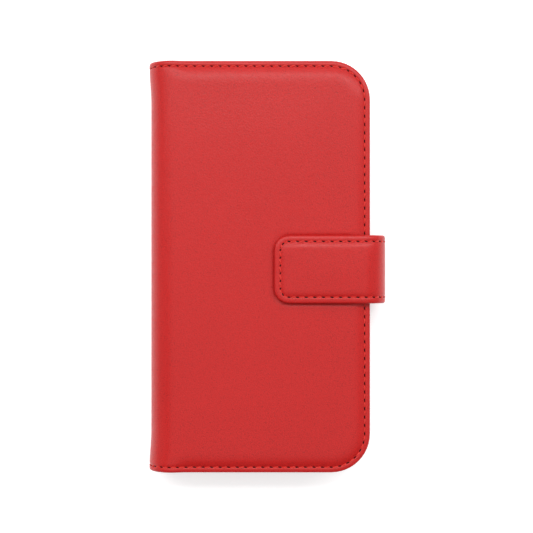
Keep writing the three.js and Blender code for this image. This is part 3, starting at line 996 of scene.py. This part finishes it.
tray = tray_moulding()
cut(tray, *tray_cutters())
tray.data.set_sharp_from_angle(angle=math.radians(SHARP_MOULDING))
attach(tray, "back_cover")
stands_for(tray, "tray", "phone_tray")

for name, (side, y, length, body) in BUTTONS.items():
    outline = pill(y, WINDOW_Z, length - 0.35, CAP_HEIGHT)
    cap = slab(name + "_cap", outline, *through_side(side, CAP_OUT, CAP_IN), 0.4, [MOULDED_CAP], "x")
    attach(cap, body)
    stands_for(cap, "tray", name)

# ---- camera window: a raised edging and its own seam on the back ----

BEAD_IN, BEAD_LEVEL = 0.05, 1.1  # the bead's middle line, in from the cut edge and up
BEAD_REACH, BEAD_RISE, BEAD_SIDES = 0.36, 1.05, 8
bead_turn = [2 * math.pi * k / BEAD_SIDES for k in range(BEAD_SIDES)]
bead = [(BEAD_REACH * math.cos(a) - BEAD_IN, BEAD_LEVEL + BEAD_RISE * math.sin(a)) for a in bead_turn]
camera_bead = build("camera_window_edging", *around_window(bead), [EDGE_PAINT])
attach(camera_bead, "back_cover")
stands_for(camera_bead, "leather")


def square_seam_line(half, corner):
    """Needle holes (x, y, along x, along y) round the camera window, back to the first."""
    side = half - corner
    n_side, n_turn = round(2 * side / PITCH), round(corner * QUARTER / PITCH)
    quarter = []
    for i in range(n_turn):
        a = QUARTER * i / n_turn
        quarter.append((side + corner * math.cos(a), side + corner * math.sin(a), -math.sin(a), math.cos(a)))
    quarter += [(side - 2 * side * i / n_side, half, -1, 0) for i in range(n_side)]
    line = []
    for c, s in ((1, 0), (0, 1), (-1, 0), (0, -1)):
        for x, y, ax, ay in quarter:
            place = (CAMERA_X + x * c - y * s, CAMERA_Y + x * s + y * c)
            line.append((*place, ax * c - ay * s, ax * s + ay * c))
    return line + line[:1]


camera_line = square_seam_line(CAMERA_SIZE / 2 + CAMERA_SEAM_IN, CAMERA_CORNER + CAMERA_SEAM_IN)
camera_seam = stitches(
    "camera_window_stitches", ("camera_window_thread",), camera_line, flat_place(0),
    lambda u, y: 0.01 - CAMERA_SEAM_DEPTH, radius=0.24)
for piece in camera_seam:
    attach(piece, "back_cover")

# ---- strap ----

STRAP_SEAM = 2.2  # in from the strap's edge
TOP_R = 9.0  # the bend over the front cover
LOW_RX, LOW_RZ = 6.2, 6.0  # the bend out of the back cover
MID_SIDE = 9.9  # where the flap's leather meets the tail's, up the strap's side
SIDE_UP = STRAP_TOP - TOP_R - MID_SIDE
TOP_ARC = TOP_R * QUARTER
FLAT_RUN = WIDTH - TOP_R - STRAP_TIP


def place_flap(u, y, h):
    """From the middle of the strap's side up, over the bend and along the front to the tip."""
    y += STRAP_Y
    if u < SIDE_UP:
        return (WIDTH + h, y, MID_SIDE + u)
    if u < SIDE_UP + TOP_ARC:
        a = (u - SIDE_UP) / TOP_R
        reach = TOP_R + h
        return (WIDTH - TOP_R + reach * math.cos(a), y, STRAP_TOP - TOP_R + reach * math.sin(a))
    return (WIDTH - TOP_R - (u - SIDE_UP - TOP_ARC), y, STRAP_TOP + h)


LOW_CENTRE_Z = HIDE + LOW_RZ
LOW_ARC = (LOW_RX + LOW_RZ) / 2 * QUARTER
SIDE_DOWN = MID_SIDE - LOW_CENTRE_Z


def place_tail(u, y, h):
    """From the middle of the strap's side down, round the bend and into the back cover."""
    y += STRAP_Y
    if u < SIDE_DOWN:
        return (WIDTH + h, y, MID_SIDE - u)
    if u < SIDE_DOWN + LOW_ARC:
        a = (u - SIDE_DOWN) / LOW_ARC * QUARTER
        return (COVER + (LOW_RX + h) * math.cos(a), y, LOW_CENTRE_Z - (LOW_RZ + h) * math.sin(a))
    return (COVER - (u - SIDE_DOWN - LOW_ARC), y, HIDE - h)


STRAP_END = SIDE_UP + TOP_ARC + FLAT_RUN
STRAP_LIP = [0, 0.12, 0.35, 0.7, 1.1, 1.65, 1.95, STRAP_SEAM, 2.45, 2.7]
STRAP_ROWS = STRAP_LIP + [3.0, 3.35, 3.75, 4.2, 4.75, STRAP_CORNER]
strap_rim = rim(
    STRAP_LIP, (-0.97, -0.79, -0.67, -0.58, -0.5, -0.44, -0.54, -0.68, -0.6, -0.48), 0.48, 2.6, power=2.4)
side_rim = rim(STRAP_LIP, (-0.42, -0.24, -0.1, -0.02, 0.0, -0.03, -0.13, -0.25, -0.16, -0.08), 0.08, 1.3)
STRAP_RUN = STRAP_END - STRAP_CORNER
STRAP_HOLES = round(STRAP_RUN / PITCH)
flap_pattern = Sheet(0, STRAP_END, STRAP_HALF, STRAP_CORNER, STRAP_ROWS, 2 * STRAP_HOLES, 10, 4)


def flap_share(u):
    """0 on the strap's side, 1 on the padded flap."""
    return smooth((u - SIDE_UP - 2) / (TOP_ARC + 1))


def flap_rim(u, d):
    """Heights by the strap's edge, which change from its plain side's to the padded flap's."""
    return strap_rim(d) * flap_share(u) + side_rim(d) * (1 - flap_share(u))


def flap_top(u, y, d):
    """The padded flap, which rises a little to its middle."""
    crown = 0.12 * flap_share(u) * smooth((d - 3.5) / 9)
    drawn = pucker(u, y, d, 0, STRAP_END, STRAP_HALF, STRAP_CORNER, STRAP_RUN / STRAP_HOLES)
    return flap_rim(u, d) + crown + drawn


FLAP_TURNED, SIDE_LEATHER = -2.02, -1.02  # the leather's inside, at the flap's edge and on the side


def flap_bottom(u, y, d):
    """The leather's inside, turned in round the padding at the flap's edge."""
    share = flap_share(u)
    past_edge = smooth((d - 0.9) / 1.2)
    deep = FLAP_TURNED + 0.96 * past_edge + min(0.0, strap_rim(d) + 0.1) * past_edge
    return max(deep, FLAP_TURNED) * share + SIDE_LEATHER * (1 - share)


flap_leather = flap_pattern.solid("strap_flap_leather_skin", place_flap, flap_top, flap_bottom, hide)
STRAP_LINING_IN = 0.2
LINING_OUTSIDE, LINING_INSIDE = -1.12, -1.72  # the strap lining's two faces, on the side
flap_lining_pattern = Sheet(
    0, STRAP_END - STRAP_LINING_IN, STRAP_HALF - STRAP_LINING_IN, STRAP_CORNER - STRAP_LINING_IN,
    [0, 0.15, 0.5, 1.2, 3.0, STRAP_CORNER - STRAP_LINING_IN], 34, 8, 6)
flap_lining = flap_lining_pattern.solid(
    "strap_flap_lining_skin", place_flap,
    lambda u, y, d: LINING_OUTSIDE - 0.98 * flap_share(u) - lining_edge(d) * 0.4,
    lambda u, y, d: LINING_INSIDE - 1.14 * flap_share(u) + lining_edge(d) * 0.6,
    soft_lining)

TAIL_END = SIDE_DOWN + LOW_ARC + 12
TAIL_CORNER = 2.0
TAIL_ROWS = [0, 0.12, 0.35, 0.7, 1.05, 1.4, TAIL_CORNER]
tail_pattern = Sheet(0, TAIL_END, STRAP_HALF, TAIL_CORNER, TAIL_ROWS, 24, 16, 3)


def tail_share(u):
    """0 on the strap's side, 1 inside the back cover's sandwich."""
    return smooth((u - SIDE_DOWN - LOW_ARC * 0.55) / (LOW_ARC * 0.45))


tail_leather = tail_pattern.solid(
    "strap_tail_leather_skin", place_tail,
    lambda u, y, d: side_rim(d) * (1 - tail_share(u)) - 0.16 * tail_share(u),
    lambda u, y, d: SIDE_LEATHER * (1 - tail_share(u)) - 0.68 * tail_share(u),
    hide)
SIDE_LINING_END = SIDE_DOWN + LOW_ARC * 0.97
SIDE_LINING_CORNER = 1.5
side_lining_pattern = Sheet(
    0, SIDE_LINING_END, STRAP_HALF - STRAP_LINING_IN, SIDE_LINING_CORNER,
    [0, 0.15, 0.5, SIDE_LINING_CORNER], 14, 12, 3)
side_lining = side_lining_pattern.solid(
    "strap_side_lining_skin", place_tail,
    lambda u, y, d: LINING_OUTSIDE - lining_edge(d) * 0.4,
    lambda u, y, d: LINING_INSIDE + lining_edge(d) * 0.6,
    soft_lining)

strap_line = seam_line(STRAP_END, STRAP_HALF, STRAP_CORNER, STRAP_SEAM, 0)

flap_seam = stitches(
    "strap_flap_stitches", ("strap_flap_thread",), strap_line, place_flap,
    lambda u, y: flap_rim(u, STRAP_SEAM) + STITCH_LIFT, awl=(55, 5, -38))

for piece in (flap_leather, flap_lining, *flap_seam):
    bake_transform(piece)
for piece in (tail_leather, side_lining):
    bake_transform(piece)
stands_for(flap_leather, "leather", "strap_flap_leather", "strap_side_leather")
stands_for(flap_lining, "lining", "strap_flap_lining")
stands_for(tail_leather, "leather", "strap_tail")
stands_for(side_lining, "lining", "strap_side_lining")

# ---- hidden pieces keep their CAD shapes ----

hidden = {
    "back_board": BOARD, "front_board": BOARD, "spine_reinforcement": BOARD, "front_foam": FOAM,
    "strap_flap_padding": FOAM, "tray_adhesive_pad": PAD, "front_catch_plate": STEEL, "strap_magnet": STEEL,
}
for name, material in hidden.items():
    for material_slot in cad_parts[name].material_slots:
        material_slot.material = material

# ---- studio ----

FLOOR_LEVEL, FLOOR_REACH = -0.00004, 3.0  # metres, as are all sizes from here on
UNLIT_X, UNLIT_Y, UNLIT_FADE = 0.032, 0.07, 0.004  # the part of the floor without its painted glow


def floor_material():
    """White, with a painted glow that lifts the shadows round the case and lights its sides, except under
    the back cover, which always stands on it.
    """
    m = Nodes("studio_floor")
    beyond = {}
    for key, axis, limit in ((0, "X", UNLIT_X), (1, "Y", UNLIT_Y)):
        place = m.add("ShaderNodeSeparateXYZ", axis, {"Vector": m.where})
        distance = m.add("ShaderNodeMath", "Value", {0: place}, operation="ABSOLUTE")
        beyond[key] = m.ramp(distance, limit, limit + UNLIT_FADE)
    glow_share = m.add("ShaderNodeMath", "Value", beyond, operation="MAXIMUM")
    m.paint(m.noise(3, 2), (0.93, 0.93, 0.93, 1), (0.9, 0.9, 0.9, 1))
    m.set(Roughness=0.9, Specular_IOR_Level=0.1)
    # the painted glow: emission, not a lamp
    m.set(Emission_Color=(1, 1, 1, 1), Emission_Strength=m.ramp(glow_share, 0.0, 1.0, 0.0, 0.46))
    return m.material


floor_mesh = bpy.data.meshes.new("studio_floor")
around = ((-1, -1), (1, -1), (1, 1), (-1, 1))
floor_corners = [(x * FLOOR_REACH, y * FLOOR_REACH, FLOOR_LEVEL) for x, y in around]
floor_mesh.from_pydata(floor_corners, [], [[0, 1, 2, 3]])
floor_mesh.materials.append(floor_material())
add_object("studio_floor", floor_mesh)


def area_light(name, place, size, power):
    """A white rectangular light that faces the case."""
    lamp = bpy.data.lights.new(name, "AREA")
    lamp.shape = "RECTANGLE"
    lamp.size, lamp.size_y = size
    lamp.energy = power
    obj = add_object(name, lamp)
    obj.location = place
    obj.rotation_euler = (-Vector(place)).to_track_quat("-Z", "Y").to_euler()


area_light("key_softbox", (0, 0.52, 1.0), (2.4, 0.34), 12.4)
area_light("back_softbox", (0, 1.05, 0.72), (2.4, 0.45), 4.2)
area_light("overhead_softbox", (0, -0.17, 1.3), (1.6, 1.3), 5.5)
for side in (-1, 1):
    area_light("side_panel", (side * 0.95, 0.15, 0.45), (1.4, 0.9), 1.9)
world = bpy.data.worlds.new("studio")
world.use_nodes = True
background = world.node_tree.nodes["Background"].inputs
background["Color"].default_value = (1, 1, 1, 1)
background["Strength"].default_value = 0.2
bpy.context.scene.world = world
bpy.context.scene.view_settings.view_transform = "Standard"
bpy.context.scene.view_settings.look = "None"

CAMERA_HEIGHT = 0.48  # over the front cover
camera_data = bpy.data.cameras.new("camera")
camera_data.sensor_width = 36
camera_data.lens = 86.82
camera = add_object("camera", camera_data)
camera.location = (-0.0005, 0.00006, CAMERA_HEIGHT + THICK / 1000)
bpy.context.scene.camera = camera
